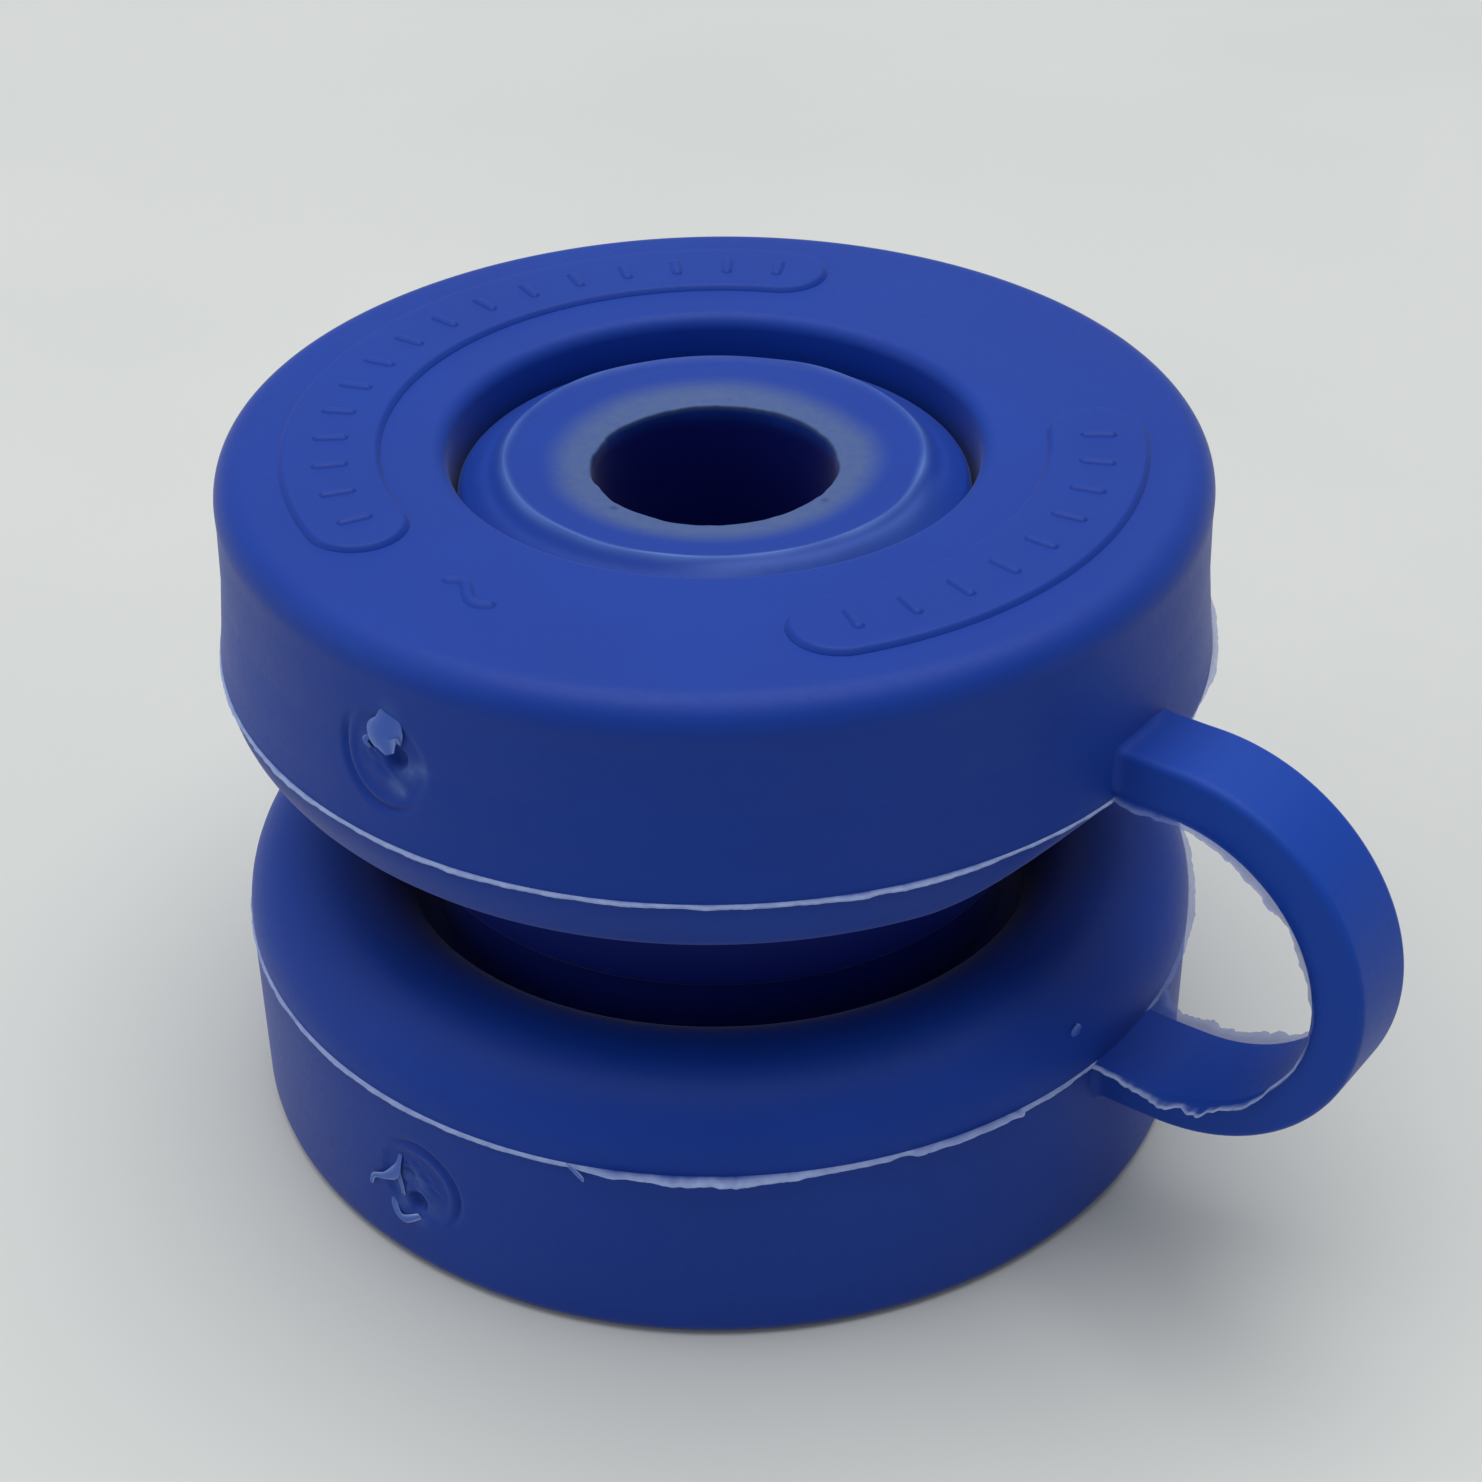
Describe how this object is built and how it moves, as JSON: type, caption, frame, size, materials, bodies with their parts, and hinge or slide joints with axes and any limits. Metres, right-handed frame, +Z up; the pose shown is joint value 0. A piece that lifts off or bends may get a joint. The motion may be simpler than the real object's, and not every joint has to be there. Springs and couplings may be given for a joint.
{
  "type": "snap-together spool",
  "caption": "Soft plastic diabolo-shaped spool in two halves that snap together, with a hollow centre post and a flexible side loop.",
  "frame": {"origin": "centre of the bore at the base", "axes": "+Z up along the bore, +X towards the strap loop"},
  "size_m": [0.0621, 0.0492, 0.0361],
  "materials": {
    "blue_plastic": "satin, soft low-density plastic"
  },
  "bodies": {
    "post_half": {"lower_disc": "blue_plastic", "centre_post": "blue_plastic", "neck_collar": "blue_plastic", "snap_head": "blue_plastic", "strap_lower_half": "blue_plastic", "lower_gate_stub": "blue_plastic"},
    "ring_half": {"upper_ring": "blue_plastic", "socket_sleeve": "blue_plastic", "strap_upper_half": "blue_plastic", "strap_side_label_pad": "blue_plastic", "far_side_label_pad": "blue_plastic", "index_mark": "blue_plastic", "upper_gate_stub": "blue_plastic"}
  },
  "joints": [
    {"name": "ring_lift", "type": "slide", "parent": "post_half", "child": "ring_half", "axis": [0, 0, 1], "range_m": [0, 0.021]}
  ]
}
